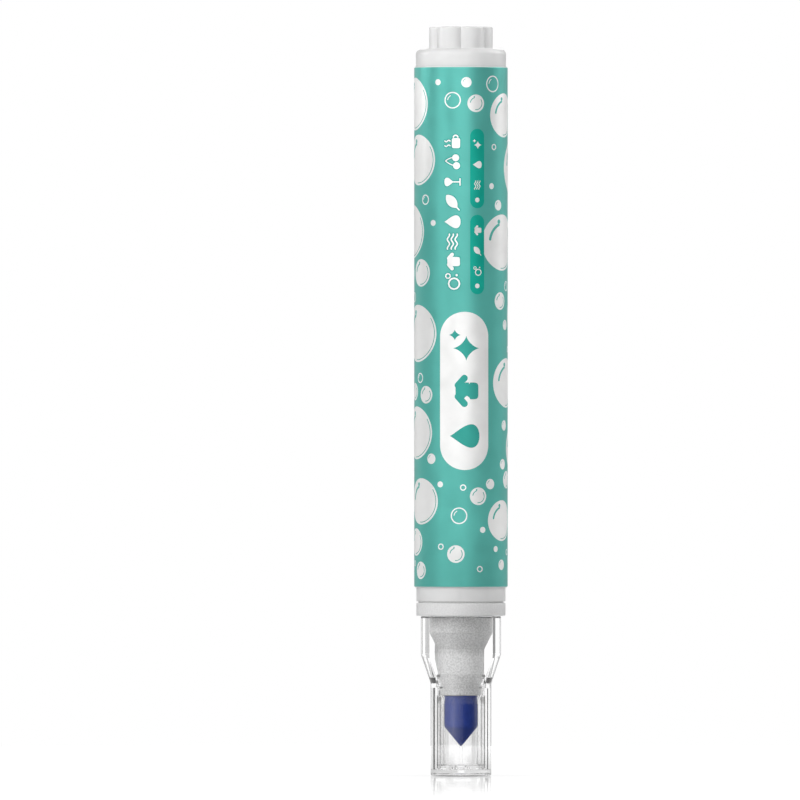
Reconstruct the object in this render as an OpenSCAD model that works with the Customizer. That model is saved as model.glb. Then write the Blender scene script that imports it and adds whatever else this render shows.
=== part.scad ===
// Stain remover pen: a valve pen with a clear push-on cap, standing on that cap.
// The pen's axis is Z and its nib points down. Z = 0 is the underside of the cap.
// Lengths are millimetres.

/* [Barrel] */
// Diameter over the printed label
body_d = 17; // [16:0.25:19]
// Length of the label along the pen
label_len = 94.3; // [80:0.5:110]
// Thickness of the label film
label_t = 0.15; // [0.1:0.05:0.3]
// Bare strip of tube beyond each end of the label
label_margin = 0.15; // [0.1:0.05:0.5]
// Wall of the barrel tube
barrel_wall = 1.2; // [1:0.1:1.5]
// Height of the bare ring at the barrel's front end
ring_h = 2.55; // [1.5:0.05:5]
// How far the bare ring lies inside the label's surface
ring_step = 0.4; // [0.2:0.05:0.7]

/* [Rear plug] */
// How far the plug's flange lies inside the label's surface
plug_step = 0.3; // [0.2:0.05:0.7]
// Height of the plug's flange
plug_h = 3.25; // [2:0.05:5]
// Rounding of the flange's upper edge
plug_round = 1; // [0.3:0.05:1.2]
// Height of the lobed post that the cap is posted on
post_h = 4.05; // [3:0.05:8]
// Number of lobes on the post
lobes = 6; // [5:1:8]
// Radius of one lobe
lobe_r = 2.77; // [2.5:0.01:3.2]
// Wall around the post's hollow core, and over it
post_wall = 1.3; // [1:0.1:1.6]
// Length of the plug's skirt inside the barrel
plug_skirt_len = 8; // [7:0.5:12]

/* [Front section] */
// Height of the collar between barrel and cap
collar_h = 2.3; // [1.5:0.05:4]
// Height of the shadow groove between barrel and collar
seam_h = 0.3; // [0.2:0.05:0.5]
// Depth of the shadow groove
seam_depth = 0.35; // [0.2:0.05:0.5]
// Diameter of the cylinder that the cap grips
fit_d = 11.54; // [11.2:0.02:12]
// Length of the cylinder that the cap grips
fit_h = 3; // [2.8:0.05:4.5]
// Length of the cone below it
cone_h = 3.1; // [2:0.05:4]
// Diameter of the nose
nose_d = 8.5; // [8.2:0.05:8.6]
// Length of the straight nose
nose_h = 4.35; // [3.5:0.05:5.5]
// Length of the taper from the nose to its tip
tip_taper_h = 2; // [1.5:0.05:2.5]
// Diameter of the sealing land at the tip
tip_d = 7.42; // [7.3:0.02:7.6]
// Length of the sealing land at the tip
tip_h = 2.05; // [1.6:0.05:2.4]
// Length of the skirt inside the barrel
skirt_len = 7; // [6.5:0.25:9]
// Wall of both skirts
skirt_wall = 1.5; // [1.4:0.1:1.6]
// Thickness of the ledge that the valve seat rests on
ledge_t = 1.1; // [0.8:0.1:1.6]

/* [Nib] */
// Diameter of the nib
nib_d = 6; // [5.7:0.05:6.2]
// Length of nib that stands out of the nose
nib_out = 9.2; // [8:0.1:11]
// Length of the nib's pointed end
nib_point_h = 3.5; // [2.5:0.1:5]
// Radius of the very point
nib_tip_r = 0.12; // [0.08:0.02:0.3]
// Rounding of the nib's shoulder
nib_round = 1; // [0.4:0.1:1.2]
// Length of nib inside the nose
nib_in = 12.4; // [11.5:0.1:13]
// How far up the cone the nib's bore widens into a chamber
chamber_rise = 1.55; // [1:0.05:2]
// Wall that the chamber would have in the straight nose
chamber_wall = 0.3; // [0.2:0.05:0.5]
// Number of air grooves along the nib's bore
vents = 4; // [2:1:6]
// Width of an air groove
vent_w = 0.5; // [0.3:0.05:0.8]
// Depth of an air groove
vent_depth = 0.22; // [0.15:0.01:0.25]

/* [Valve] */
// Travel of the nib when it is pressed
travel = 1.5; // [1:0.1:1.8]
// Thickness of the valve seat
seat_t = 2.2; // [1.8:0.1:3]
// Diameter of the port through seat and gasket
port_d = 2.8; // [2.6:0.1:3.2]
// Outer diameter of the gasket
gasket_d = 6; // [5.6:0.1:6.6]
// Thickness of the gasket
gasket_t = 0.8; // [0.6:0.1:1]
// Diameter of the stem's front rod
rod_d = 1.6; // [1.4:0.1:1.7]
// Diameter of the foot that meets the nib
foot_d = 2.4; // [2:0.1:2.5]
// Thickness of that foot
foot_t = 0.8; // [0.6:0.1:1.2]
// Diameter of the sealing head
head_d = 4.8; // [4.4:0.1:5.4]
// Thickness of the head above its cone
head_t = 0.75; // [0.5:0.05:1.2]
// Diameter of the guided tail
tail_d = 1.8; // [1.6:0.1:2]
// Mean diameter of the spring
spring_d = 3.3; // [3:0.1:3.8]
// Diameter of the spring's wire
wire_d = 0.35; // [0.25:0.05:0.4]
// Fitted length of the spring
spring_len = 6.5; // [6:0.1:8]
// Turns of the spring
spring_turns = 6; // [5:1:7]
// Wall of the cage around the spring
cage_wall = 1.2; // [0.9:0.1:1.4]
// Thickness of the cage's end plate
cage_plate = 1; // [0.8:0.1:1.5]
// Number of windows in the cage
windows = 4; // [3:1:5]
// Width of a window
window_w = 3.2; // [2:0.1:3.6]
// How far the windows reach down inside the skirt
window_drop = 2; // [1:0.1:2.5]

/* [Cap] */
// Length of the cap
cap_len = 29; // [28:0.25:34]
// Wall of the cap's wide mouth
cap_wall = 1.45; // [1.2:0.05:1.6]
// Wall of the cap's lower tube
tube_wall = 0.75; // [0.6:0.05:0.85]
// How far the lower tube reaches above the nose's tip
tube_over = 2.25; // [2:0.05:3]
// Height of the conical shoulder outside
shoulder_h = 5.2; // [4.5:0.1:6]
// How far the shoulder starts higher inside than outside
inner_rise = 1.3; // [0.8:0.1:1.6]
// Height of the conical shoulder inside
inner_shoulder_h = 3.8; // [3:0.1:4.5]
// Rounding where the mouth meets the shoulder
shoulder_round = 2.5; // [1:0.1:4]
// Rounding where the shoulder meets the lower tube
neck_round = 1.5; // [0.8:0.1:3]
// Thickness of the cap's floor
cap_floor = 1.05; // [0.8:0.05:1.3]
// Rounding of the cap's foot
foot_round = 0.4; // [0.2:0.05:0.5]
// Radius of the hollow under the floor, which leaves a standing ring
hollow_r = 3.4; // [3:0.1:4.2]
// Depth of that hollow
hollow_h = 0.5; // [0.2:0.05:0.6]
// Diameter of the inner seal's bore around the nib
seal_bore_d = 6.9; // [6.7:0.05:7.1]
// Wall of the inner seal's tube
seal_wall = 0.75; // [0.6:0.05:0.8]
// Thickness of the inner seal's floor
seal_floor = 0.8; // [0.6:0.05:1]
// Wall of the inner seal's socket around the nose's taper
socket_wall = 0.3; // [0.2:0.05:0.4]
// Room between that socket and the cap's lower tube
seal_room = 0.18; // [0.12:0.02:0.3]
// Height of the seal's lip, which thins out beside the nose's taper
lip_h = 1.65; // [1.2:0.05:1.9]
// Thickness of the lip's upper edge
lip_t = 0.15; // [0.1:0.05:0.25]
// Length of the funnel from the seal's bore up to its sealing land
land_lead = 1.2; // [0.6:0.1:2]
// Number of ribs that centre the inner seal
ribs = 6; // [4:1:8]
// Width of a rib
rib_w = 0.6; // [0.4:0.05:1]

/* [Filling] */
// Cleaning liquid in the barrel, in millilitres
fill_ml = 9; // [5:0.5:10]

/* [Clearances] */
// Between the cap's bore and the front section
cap_fit = 0.06; // [0.04:0.01:0.1]
// Between the cap's mouth and the collar
cap_gap = 0.1; // [0.05:0.05:0.3]
// Between the nib and its bore
nib_fit = 0.07; // [0.05:0.01:0.1]
// Between the inner seal and the nose
seal_fit = 0.05; // [0.04:0.01:0.08]
// Between parts that are pressed together
press_gap = 0.03; // [0.02:0.01:0.05]
// Between the valve's moving faces at rest
touch_gap = 0.05; // [0.03:0.01:0.1]
// Between the stem's tail and its guide
guide_gap = 0.1; // [0.05:0.05:0.15]
// Between the liquid and the walls that hold it
liquid_gap = 0.08; // [0.05:0.01:0.1]

/* [Hidden] */
$fn = 96;

white = "whitesmoke";
teal = "mediumaquamarine";
grey = "gainsboro";
clear = [0.85, 0.92, 0.95, 0.35];

// Small features shared by several pieces
edge = 0.2;          // rounding or chamfer of a moulded edge
fine_edge = 0.1;     // the same where the wall is thin
lead_in = 0.3;       // chamfer at a mouth
bead_h = 0.2;        // height of a snap bead
bead_w = 1.2;        // width of a snap bead
bead_at = 1.6;       // from a shoulder to the middle of its snap bead
ring_t = 0.76;       // thickness of a fitted seal ring
ring_groove_w = 1;   // width of a seal ring's groove
ring_at = 4.4;       // from a shoulder to the middle of its seal ring
arc_step = 12;       // degrees of turn for each straight piece of a rounding

// Front section, from its tip up to the collar
fit_r = fit_d / 2;
nose_r = nose_d / 2;
tip_r = tip_d / 2;
collar_z0 = cap_len + cap_gap;
collar_z1 = collar_z0 + collar_h;
fit_z0 = collar_z0 - fit_h;
cone_z0 = fit_z0 - cone_h;
taper_z1 = cone_z0 - nose_h;
taper_z0 = taper_z1 - tip_taper_h;
tip_z = taper_z0 - tip_h;

// Barrel and label
body_r = body_d / 2;
barrel_r = body_r - label_t;
bore_r = barrel_r - barrel_wall;
ring_r = body_r - ring_step;
barrel_z0 = collar_z1 + seam_h;
step_z = barrel_z0 + ring_h;
label_z0 = step_z + label_margin;
label_z1 = label_z0 + label_len;
barrel_z1 = label_z1 + label_margin;

// Skirts that plug the barrel at both ends
skirt_r = bore_r - press_gap;
pocket_r = skirt_r - skirt_wall;
groove_r = bore_r - ring_t - 2 * press_gap;
skirt_z1 = barrel_z0 + skirt_len;

// Rear plug
plug_r = body_r - plug_step;
plug_z1 = barrel_z1 + plug_h;
post_z1 = plug_z1 + post_h;
lobe_at = fit_r - lobe_r;
valley_r = lobe_at * cos(180 / lobes) + sqrt(pow(lobe_r, 2) - pow(lobe_at * sin(180 / lobes), 2));
core_r = valley_r - post_wall;
plug_skirt_z = barrel_z1 - plug_skirt_len;

// Nib and its bore
nib_r = nib_d / 2;
bore_nib_r = nib_r + nib_fit;
chamber_z0 = cone_z0 + chamber_rise;
chamber_r = nose_r - chamber_wall;
nib_tip_z = tip_z - nib_out;
nib_back_z = tip_z + nib_in;

// Valve, from the ledge up to the cage's end plate
seat_z0 = collar_z0 + ledge_t;
seat_z1 = seat_z0 + seat_t;
seat_r = pocket_r - press_gap;
port_r = port_d / 2;
gasket_r = gasket_d / 2;
rod_r = rod_d / 2;
foot_r = foot_d / 2;
head_r = head_d / 2;
tail_r = tail_d / 2;
foot_z0 = nib_back_z + touch_gap;
foot_z1 = foot_z0 + foot_t;
sealing_r = port_r - touch_gap * sqrt(2);
head_cone_z0 = seat_z1 - (sealing_r - rod_r);
head_cone_z1 = seat_z1 + (head_r - sealing_r);
head_z1 = head_cone_z1 + head_t;
plate_z0 = head_z1 + spring_len;
plate_z1 = plate_z0 + cage_plate;
tail_z1 = plate_z1 - edge;
guide_r = tail_r + guide_gap;
cage_in_r = seat_r - cage_wall;
window_z0 = skirt_z1 - window_drop;

// Liquid: it stands on the front section's skirt, and its level follows from its volume
tail_room = 0.4; // room left around the stem's moving tail
liquid_r = bore_r - liquid_gap;
liquid_z0 = skirt_z1 + liquid_gap;
cage_room_r = seat_r + liquid_gap;
cage_room_z = plate_z1 + liquid_gap;
tail_room_r = tail_r + tail_room;
tail_room_z = tail_z1 + travel + tail_room;
around_cage = PI * (pow(liquid_r, 2) - pow(cage_room_r, 2)) * (cage_room_z - liquid_z0);
around_tail = PI * pow(tail_room_r, 2) * (tail_room_z - cage_room_z);
liquid_z1 = cage_room_z + (fill_ml * 1000 - around_cage + around_tail) / (PI * pow(liquid_r, 2));

// Cap shell; its lower tube goes round the inner seal's socket, which goes round the nose
socket_r = nose_r + seal_fit;
socket_out_r = socket_r + socket_wall;
cap_in_r = fit_r + cap_fit;
cap_r = cap_in_r + cap_wall;
tube_in_r = socket_out_r + seal_room;
tube_r = tube_in_r + tube_wall;
shoulder_z0 = tip_z + tube_over;
shoulder_z1 = shoulder_z0 + shoulder_h;
inner_z0 = shoulder_z0 + inner_rise;
inner_z1 = inner_z0 + inner_shoulder_h;
gate_r = 0.45;              // nub left by the moulding gate, in the hollow
gate_z = hollow_h - 0.15;

// Cap's inner seal
seal_z0 = cap_floor + press_gap;
seal_floor_z = seal_z0 + seal_floor;
seal_bore_r = seal_bore_d / 2;
seal_r = seal_bore_r + seal_wall;
seal_gate_r = 1.2;          // recess for its own gate, under the floor
seal_gate_h = 0.5;
land_r = tip_r + seal_fit;
land_z0 = tip_z - lead_in;
lip_z0 = taper_z1 - lip_h;
socket_step = socket_out_r - seal_r;
rib_r = tube_in_r - press_gap;
rib_z0 = seal_z0 + lead_in;
rib_z1 = tip_z;

// Arc of the given radius at corner b, between the edges that come from a and go to c
function round_off(a, b, c, radius) =
  let (u = (a - b) / norm(a - b), v = (c - b) / norm(c - b),
       half = acos(u * v) / 2,
       start = b + u * radius / tan(half),
       centre = b + (u + v) / norm(u + v) * radius / sin(half),
       from = atan2(start.y - centre.y, start.x - centre.x),
       turn = sign(cross(b - a, c - b)) * (180 - 2 * half),
       steps = max(2, ceil(abs(turn) / arc_step)))
    [for (i = [0:steps]) centre + radius * [cos(from + turn * i / steps), sin(from + turn * i / steps)]];

// Outline from corners given as [r, z], or as [r, z, radius] where the corner is rounded
function rounded(corners) =
  let (n = len(corners))
    [for (i = [0:n - 1])
      let (a = corners[(i + n - 1) % n], b = corners[i], c = corners[(i + 1) % n])
        each b[2] == undef ? [[b.x, b.y]] : round_off([a.x, a.y], [b.x, b.y], [c.x, c.y], b[2])];

// Corners of a snap bead, or of the groove that takes it, going up a wall of radius r
function bead(r, z, grow = 0) =
  [[r, z - bead_w / 2 - grow], [r + bead_h, z - bead_w / 4 - grow],
   [r + bead_h, z + bead_w / 4 + grow], [r, z + bead_w / 2 + grow]];

// Corners of a seal ring's groove, going up a wall of radius r
function ring_groove(r, z) =
  [[r, z - ring_groove_w / 2], [groove_r, z - ring_groove_w / 2],
   [groove_r, z + ring_groove_w / 2], [r, z + ring_groove_w / 2]];

function backwards(points) = [for (i = [len(points) - 1:-1:0]) points[i]];

module turned(corners) {
  rotate_extrude() polygon(rounded(corners));
}

// Snap grooves in the bore take the beads of the front section and of the rear plug
module barrel() {
  color(white) turned(concat(
    [[bore_r, barrel_z0], [ring_r, barrel_z0, fine_edge], [ring_r, step_z], [barrel_r, step_z],
     [barrel_r, barrel_z1], [bore_r, barrel_z1]],
    backwards(bead(bore_r, barrel_z1 - bead_at, press_gap)),
    backwards(bead(bore_r, barrel_z0 + bead_at, press_gap))));
}

module label_sleeve() {
  color(teal) difference() {
    translate([0, 0, label_z0]) cylinder(r = body_r, h = label_len);
    translate([0, 0, label_z0 - 1]) cylinder(r = barrel_r, h = label_len + 2);
  }
}

// One lobe of the post, with a chamfered top
module lobe() {
  root = plug_z1 - plug_round;
  translate([lobe_at, 0, root]) cylinder(r = lobe_r, h = post_z1 - edge - root);
  translate([lobe_at, 0, post_z1 - edge]) cylinder(r1 = lobe_r, r2 = lobe_r - edge, h = edge);
}

module rear_plug() {
  color(white) difference() {
    union() {
      turned(concat(
        [[0, plug_skirt_z], [skirt_r - lead_in, plug_skirt_z], [skirt_r, plug_skirt_z + lead_in]],
        ring_groove(skirt_r, barrel_z1 - ring_at),
        bead(skirt_r, barrel_z1 - bead_at),
        [[skirt_r, barrel_z1], [plug_r, barrel_z1], [plug_r, plug_z1, plug_round], [0, plug_z1]]));
      for (i = [0:lobes - 1]) rotate(i * 360 / lobes) lobe();
      translate([0, 0, plug_z1 - edge]) cylinder(r = lobe_at, h = post_h + edge);
    }
    translate([0, 0, plug_skirt_z - 1]) cylinder(r = pocket_r, h = plug_skirt_len + 1);
    translate([0, 0, barrel_z1 - 1]) cylinder(r = core_r, h = post_z1 - post_wall - barrel_z1 + 1);
  }
}

module seal_ring(z) {
  color("dimgray") translate([0, 0, z]) rotate_extrude()
    translate([groove_r + press_gap + ring_t / 2, 0]) circle(r = ring_t / 2);
}

module rear_seal_ring() {
  seal_ring(barrel_z1 - ring_at);
}

module front_seal_ring() {
  seal_ring(barrel_z0 + ring_at);
}

// Nose, collar and skirt in one moulding
module front_section() {
  seam_r = ring_r - seam_depth;
  color(grey) difference() {
    turned(concat(
      [[bore_nib_r + fine_edge, tip_z], [tip_r, tip_z, edge], [tip_r, taper_z0],
       [nose_r, taper_z1], [nose_r, cone_z0], [fit_r, fit_z0], [fit_r, collar_z0],
       [ring_r, collar_z0, lead_in], [ring_r, collar_z1, fine_edge], [seam_r, collar_z1], [seam_r, barrel_z0],
       [skirt_r, barrel_z0]],
      bead(skirt_r, barrel_z0 + bead_at),
      ring_groove(skirt_r, barrel_z0 + ring_at),
      [[skirt_r, skirt_z1 - lead_in], [skirt_r - lead_in, skirt_z1], [pocket_r, skirt_z1]],
      backwards(bead(pocket_r, seat_z1 + bead_at, press_gap)),
      [[pocket_r, seat_z0], [chamber_r, seat_z0], [chamber_r, chamber_z0], [bore_nib_r, chamber_z0],
       [bore_nib_r, tip_z + fine_edge]]));
    for (i = [0:vents - 1]) rotate((i + 0.5) * 360 / vents)
      translate([0, -vent_w / 2, tip_z - 1]) cube([bore_nib_r + vent_depth, vent_w, chamber_z0 - tip_z + 2]);
  }
}

// Pressed into the front section's pocket, with a recess on its back for the gasket
module valve_seat() {
  color(white) turned([
    [port_r, seat_z0], [seat_r, seat_z0], [seat_r, seat_z1], [gasket_r, seat_z1],
    [gasket_r, seat_z1 - gasket_t], [port_r, seat_z1 - gasket_t]]);
}

module valve_gasket() {
  color("dimgray") difference() {
    translate([0, 0, seat_z1 - gasket_t]) cylinder(r = gasket_r - press_gap, h = gasket_t);
    translate([0, 0, seat_z0]) cylinder(r = port_r, h = seat_t + 1);
  }
}

// Foot, rod, sealing cone and tail; the cone closes on the gasket's edge
module valve_stem() {
  color("white") turned([
    [0, foot_z0], [foot_r, foot_z0], [foot_r, foot_z1], [rod_r, foot_z1 + foot_r - rod_r],
    [rod_r, head_cone_z0], [head_r, head_cone_z1], [head_r, head_z1], [tail_r, head_z1],
    [tail_r, tail_z1 - edge], [tail_r - edge, tail_z1], [0, tail_z1]]);
}

// One unbroken helix between the stem's head and the cage's end plate
spring_sides = 6;
rings_per_turn = 8;
spring_rings = spring_turns * rings_per_turn + 1;
spring_rise = spring_len - wire_d - 2 * touch_gap;
function spring_point(i) =
  let (a = i * 360 / rings_per_turn)
    [spring_d / 2 * cos(a), spring_d / 2 * sin(a),
     head_z1 + touch_gap + wire_d / 2 + spring_rise * i / (spring_rings - 1)];
function spring_ring(i) =
  let (a = i * 360 / rings_per_turn, p = spring_point(i))
    [for (k = [0:spring_sides - 1])
      let (b = k * 360 / spring_sides) p + wire_d / 2 * [cos(a) * cos(b), sin(a) * cos(b), sin(b)]];

module valve_spring() {
  least_gap = min([for (i = [0:spring_rings - 1], j = [i + rings_per_turn / 2:spring_rings - 1])
    norm(spring_point(i) - spring_point(j))]) - wire_d;
  echo(spring_least_gap = least_gap);
  points = [for (i = [0:spring_rings - 1]) each spring_ring(i)];
  last = (spring_rings - 1) * spring_sides;
  sides = [for (i = [0:spring_rings - 2], k = [0:spring_sides - 1])
    let (a = i * spring_sides + k, b = i * spring_sides + (k + 1) % spring_sides)
      each [[a, b + spring_sides, b], [a, a + spring_sides, b + spring_sides]]];
  ends = [for (k = [1:spring_sides - 2]) each [[0, k, k + 1], [last, last + k + 1, last + k]]];
  color("silver") polyhedron(points, concat(sides, ends));
}

// Slotted cage that holds the seat down and guides the stem's tail
module valve_cage() {
  color(white) difference() {
    turned(concat(
      [[cage_in_r, seat_z1], [seat_r, seat_z1]],
      bead(seat_r, seat_z1 + bead_at),
      [[seat_r, plate_z1, edge], [guide_r, plate_z1], [guide_r, plate_z0], [cage_in_r, plate_z0]]));
    for (i = [0:windows - 1]) rotate(i * 360 / windows)
      translate([cage_in_r - 1, -window_w / 2, window_z0]) cube([cage_wall + 2, window_w, plate_z0 - window_z0]);
  }
}

// The pointed end is a hyperbola: a tiny round point that runs out into a cone
module nib() {
  steps = 10;
  curved = 0.8; // share of the point's height that the hyperbola covers
  slope_squared = (pow(nib_r, 2) - 2 * nib_tip_r * nib_point_h) / pow(nib_point_h, 2);
  point = [for (i = [0:steps])
    let (up = nib_point_h * curved * pow(i / steps, 2))
      [sqrt(slope_squared * pow(up, 2) + 2 * nib_tip_r * up), nib_tip_z + up]];
  color("darkslateblue") turned(concat(
    point,
    [[nib_r, nib_tip_z + nib_point_h, nib_round], [nib_r, nib_back_z, edge], [0, nib_back_z]]));
}

// The filling at its standing level, clear of the cage and of the stem's travel
module cleaning_liquid() {
  color("aliceblue", 0.6) turned([
    [cage_room_r, liquid_z0], [liquid_r, liquid_z0], [liquid_r, liquid_z1], [0, liquid_z1],
    [0, tail_room_z], [tail_room_r, tail_room_z], [tail_room_r, cage_room_z], [cage_room_r, cage_room_z]]);
}

// Clear shell: wide mouth, conical shoulder, lower tube and a floor hollowed below
module cap_shell() {
  color(clear) turned([
    [0, gate_z], [gate_r, gate_z], [gate_r, hollow_h], [hollow_r, hollow_h], [hollow_r + edge, 0],
    [tube_r, 0, foot_round], [tube_r, shoulder_z0, neck_round], [cap_r, shoulder_z1, shoulder_round],
    [cap_r, cap_len, edge], [cap_in_r + lead_in, cap_len], [cap_in_r, cap_len - lead_in],
    [cap_in_r, inner_z1, shoulder_round], [tube_in_r, inner_z0, neck_round],
    [tube_in_r, cap_floor, fine_edge], [0, cap_floor]]);
}

// Clear inner cup: its land grips the nose's tip, and its lip follows the nose's taper
module cap_inner_seal() {
  color(clear) union() {
    turned([
      [0, seal_z0 + seal_gate_h], [seal_gate_r, seal_z0 + seal_gate_h], [seal_gate_r, seal_z0],
      [seal_r, seal_z0, edge], [seal_r, taper_z0 - 2 * socket_step], [socket_out_r, taper_z0 - socket_step],
      [socket_out_r, lip_z0], [socket_r + lip_t, taper_z1], [socket_r, taper_z1], [land_r, taper_z0],
      [land_r, land_z0], [seal_bore_r, land_z0 - land_lead], [seal_bore_r, seal_floor_z, edge],
      [0, seal_floor_z]]);
    intersection() {
      translate([0, 0, rib_z0]) cylinder(r = rib_r, h = rib_z1 - rib_z0);
      for (i = [0:ribs - 1]) rotate((i + 0.5) * 360 / ribs)
        translate([(seal_bore_r + seal_r) / 2, -rib_w / 2, 0]) cube([rib_r, rib_w, rib_z1 + 1]);
    }
  }
}

barrel();
label_sleeve();
rear_plug();
rear_seal_ring();
front_section();
front_seal_ring();
valve_seat();
valve_gasket();
valve_stem();
valve_spring();
valve_cage();
nib();
cleaning_liquid();
cap_shell();
cap_inner_seal();
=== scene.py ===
# Stain remover pen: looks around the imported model. Sizes in the dictionaries are millimetres.
import math

import bpy
import numpy as np
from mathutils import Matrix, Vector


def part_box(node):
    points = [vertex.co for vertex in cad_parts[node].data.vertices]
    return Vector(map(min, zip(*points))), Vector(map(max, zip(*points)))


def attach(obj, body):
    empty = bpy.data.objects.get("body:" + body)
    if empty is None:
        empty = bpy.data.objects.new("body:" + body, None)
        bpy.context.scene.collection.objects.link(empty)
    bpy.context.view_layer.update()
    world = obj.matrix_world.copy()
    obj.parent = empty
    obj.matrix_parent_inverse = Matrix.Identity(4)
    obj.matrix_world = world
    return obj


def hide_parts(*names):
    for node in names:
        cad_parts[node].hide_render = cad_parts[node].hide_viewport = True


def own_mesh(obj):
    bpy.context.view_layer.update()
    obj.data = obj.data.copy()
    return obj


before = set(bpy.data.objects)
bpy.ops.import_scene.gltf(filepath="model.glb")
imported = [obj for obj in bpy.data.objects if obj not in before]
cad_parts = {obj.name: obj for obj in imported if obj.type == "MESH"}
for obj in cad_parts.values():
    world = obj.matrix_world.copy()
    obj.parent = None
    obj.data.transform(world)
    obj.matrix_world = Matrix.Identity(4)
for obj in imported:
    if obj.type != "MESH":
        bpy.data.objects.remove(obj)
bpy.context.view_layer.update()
mm = 0.001
print("Frame: loaded")


def reachOf(name):
    # A node's widest radius and its lowest and highest z, in mm
    low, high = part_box(name)
    return high.x / mm, low.z / mm, high.z / mm


labelR, labelLow, labelHigh = reachOf("label_sleeve")
barrelR, barrelLow, barrelHigh = reachOf("barrel")
ringR, tipZ, skirtTop = reachOf("front_section")
plugR, plugLow, postTop = reachOf("rear_plug")
nibR, nibTip, nibBack = reachOf("nib")
capR, _, capMouth = reachOf("cap_shell")
ribR, sealLow, lipTop = reachOf("cap_inner_seal")


# Shapes

detail = {
    "columns": 288,    # points round the pen
    "arcStep": 9,      # degrees of turn between points on a rounding
    "sharpOver": 32,   # degrees between faces that stay a crisp edge
}


def evenAngles(count=detail["columns"]):
    # Angles once round, in even steps
    return np.arange(count) * 2 * math.pi / count


def outlineOf(corners):
    # Corners are (r, z), or (r, z, rounding). A rounding is an arc that touches both edges: its centre
    # lies on the corner's bisector, at rounding / sin(half the angle between the edges).
    places = [np.array(corner[:2], float) for corner in corners]
    points = []
    for i, corner in enumerate(corners):
        here = places[i]
        if len(corner) == 2:
            points.append(here)
            continue
        toLast = places[i - 1] - here
        toNext = places[(i + 1) % len(places)] - here
        toLast = toLast / np.linalg.norm(toLast)
        toNext = toNext / np.linalg.norm(toNext)
        half = math.acos(float(toLast @ toNext)) / 2
        middle = (toLast + toNext) / np.linalg.norm(toLast + toNext)
        centre = here + middle * corner[2] / math.sin(half)
        first = here + toLast * corner[2] / math.tan(half) - centre
        last = here + toNext * corner[2] / math.tan(half) - centre
        turn = math.atan2(first[0] * last[1] - first[1] * last[0], float(first @ last))
        steps = max(3, math.ceil(abs(math.degrees(turn)) / detail["arcStep"]))
        angle = np.linspace(0, turn, steps + 1)[:, None]
        points.extend(centre + np.cos(angle) * first + np.sin(angle) * np.array([-first[1], first[0]]))
    return np.array(points)


def roundAxis(r, angle, z):
    # Points at radius r, angle and height z
    return np.stack([r * np.cos(angle), r * np.sin(angle), z + 0 * angle], -1)


def turned(outline, angle=None, reach=None):
    # Surface of revolution: at outline point i and angle a it lies at (r cos a, r sin a, z). Where
    # reach is given, it changes r by angle, as for grooves, ribs and lobes.
    if angle is None:
        angle = evenAngles()
    r, z = outline[:, :1] + 0 * angle, outline[:, 1:] + 0 * angle
    if reach is not None:
        r = reach(r, z, angle + 0 * r)
    return roundAxis(r, angle, z)


def skinOf(points, looped=False):
    # Vertices and faces of a closed grid. Its columns go round; its first and last rows are poles,
    # or meet each other if looped.
    rows, columns = points.shape[:2]
    if looped:
        vertices = points.reshape(-1, 3)
        index = np.arange(rows * columns).reshape(rows, columns)
        index = np.vstack([index, index[:1]])
        caps = []
    else:
        vertices = np.vstack([points[0, :1], points[1:-1].reshape(-1, 3), points[-1, :1]])
        index = 1 + np.arange((rows - 2) * columns).reshape(rows - 2, columns)
        nextOne = np.roll(index, -1, 1)
        first = np.stack([0 * index[0], nextOne[0], index[0]], -1)
        last = np.stack([index[-1], nextOne[-1], 0 * index[0] + len(vertices) - 1], -1)
        caps = np.vstack([first, last]).tolist()
    nextOne = np.roll(index, -1, 1)
    quads = np.stack([index[:-1], nextOne[:-1], nextOne[1:], index[1:]], -1).reshape(-1, 4)
    return vertices, quads.tolist() + caps


def addObject(name, data):
    # Puts an object into the scene
    made = bpy.data.objects.new(name, data)
    bpy.context.scene.collection.objects.link(made)
    return made


def addMesh(name, vertices, faces, paint):
    # An object whose vertices are given in mm
    mesh = bpy.data.meshes.new(name)
    mesh.from_pydata((np.array(vertices) * mm).tolist(), [], faces)
    mesh.materials.append(paint)
    return addObject(name, mesh)


def addPiece(name, skins, body, paint, standsFor=()):
    # Joins skins, given in mm, into one piece that rides on a body
    vertices, faces, start = [], [], 0
    for points, around in skins:
        vertices.append(points)
        faces.extend([[corner + start for corner in face] for face in around])
        start += len(points)
    piece = addMesh(name, np.vstack(vertices), faces, paint)
    piece.data.polygons.foreach_set("use_smooth", [True] * len(faces))
    piece.data.set_sharp_from_angle(angle=math.radians(detail["sharpOver"]))
    smooth = piece.modifiers.new("evenShading", "WEIGHTED_NORMAL")
    smooth.keep_sharp = True
    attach(piece, body)
    if standsFor:
        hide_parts(*standsFor)
    return piece


# Materials

def linear(code):
    # sRGB hex to linear light: c / 12.92 up to 0.04045, and ((c + 0.055) / 1.055) ** 2.4 above
    channel = np.array([int(code[i:i + 2], 16) for i in (1, 3, 5)]) / 255
    bent = np.where(channel <= 0.04045, channel / 12.92, ((channel + 0.055) / 1.055) ** 2.4)
    return (*bent.tolist(), 1.0)


def addNode(tree, kind, settings=(), sockets=(), links=()):
    # Adds one node, with its own settings, its sockets' values and the links that feed it
    made = tree.nodes.new("ShaderNode" + kind)
    for name, value in dict(settings).items():
        setattr(made, name, value)
    for name, value in dict(sockets).items():
        made.inputs[name].default_value = value
    for name, source in dict(links).items():
        tree.links.new(source, made.inputs[name])
    return made


def blankPaint(name):
    # A material whose node tree is still empty
    paint = bpy.data.materials.new(name)
    paint.use_nodes = True
    paint.node_tree.nodes.clear()
    return paint, paint.node_tree


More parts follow.
